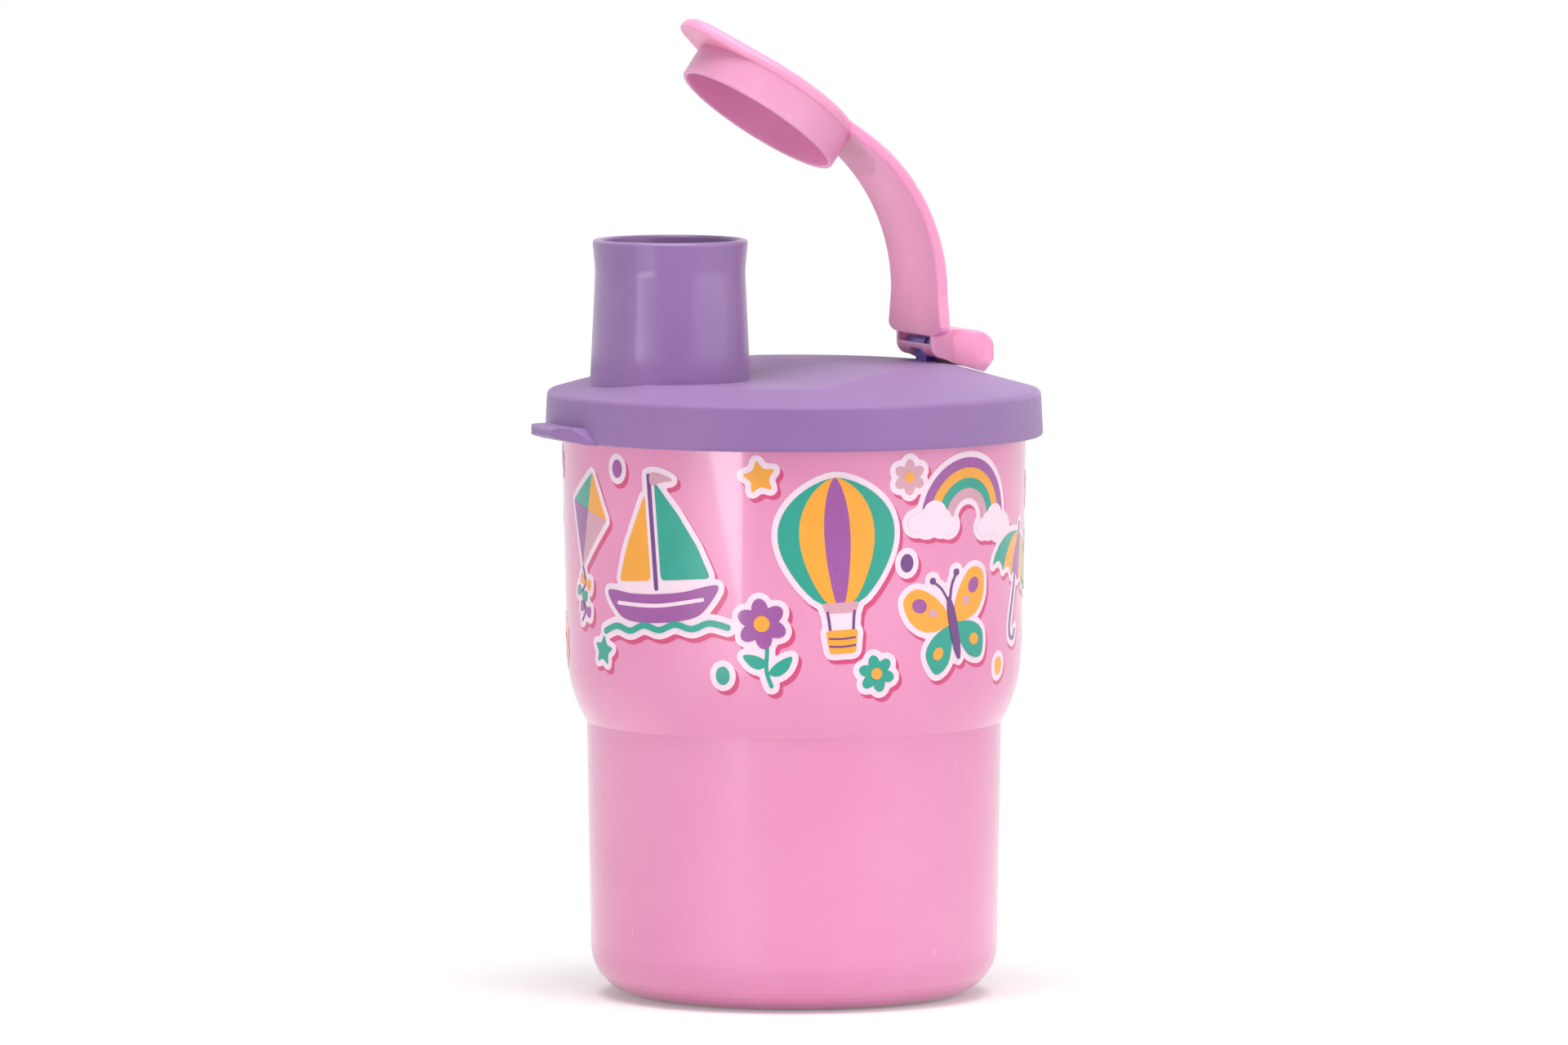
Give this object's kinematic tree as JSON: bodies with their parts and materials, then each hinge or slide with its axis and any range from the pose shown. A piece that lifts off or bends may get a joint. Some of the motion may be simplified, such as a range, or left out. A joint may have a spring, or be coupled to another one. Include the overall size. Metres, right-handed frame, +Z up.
{
  "type": "kids water bottle",
  "caption": "Child's drinking cup with a press-on spout lid, a pull tab and a hinged flip cap on an arched strap, shown open.",
  "frame": {"origin": "centre of the ring that the cup stands on", "axes": "+Z up along the cup's axis, -X toward the spout and the pull tab, +X toward the hinge"},
  "size_m": [0.0902, 0.086, 0.1691],
  "materials": {
    "cup_pink": "glossy moulded polypropylene",
    "lid_purple": "satin soft polyethylene",
    "cap_pink": "satin moulded polypropylene",
    "print_ink": "glossy printed ink"
  },
  "bodies": {
    "cup": {"cup": "cup_pink"},
    "lid": {"lid": "lid_purple"},
    "flip_cap": {"flip_cap": "cap_pink"}
  },
  "joints": [
    {"name": "lid_lift", "type": "slide", "parent": "cup", "child": "lid", "axis": [0, 0, 1], "range_m": [0, 0.06]},
    {"name": "cap_hinge", "type": "hinge", "parent": "lid", "child": "flip_cap", "pos_m": [0.0249, 0, 0.11215], "axis": [0, 1, 0], "range_deg": [-35, 0]}
  ]
}
